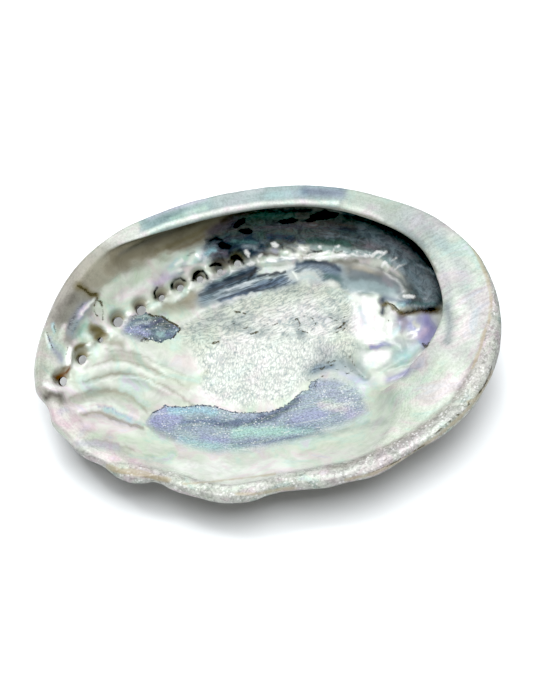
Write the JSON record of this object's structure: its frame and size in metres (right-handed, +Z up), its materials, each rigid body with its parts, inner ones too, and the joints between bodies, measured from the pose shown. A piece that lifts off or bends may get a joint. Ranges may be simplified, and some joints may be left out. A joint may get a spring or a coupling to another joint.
{
  "type": "abalone shell",
  "caption": "Ear-shaped abalone shell lying on its back, nacre bowl up, with a row of open breathing holes, an overhanging inner shelf and a low spire.",
  "frame": {"origin": "bottom centre of the shell's box, on the surface that it rests on", "axes": "+Z up out of the open bowl, +X towards the spire end, +Y towards the columellar shelf and the row of holes"},
  "size_m": [0.1505, 0.1142, 0.0406],
  "materials": {
    "nacre": "satin"
  },
  "bodies": {
    "root": {"abalone_shell": "nacre"}
  },
  "joints": []
}
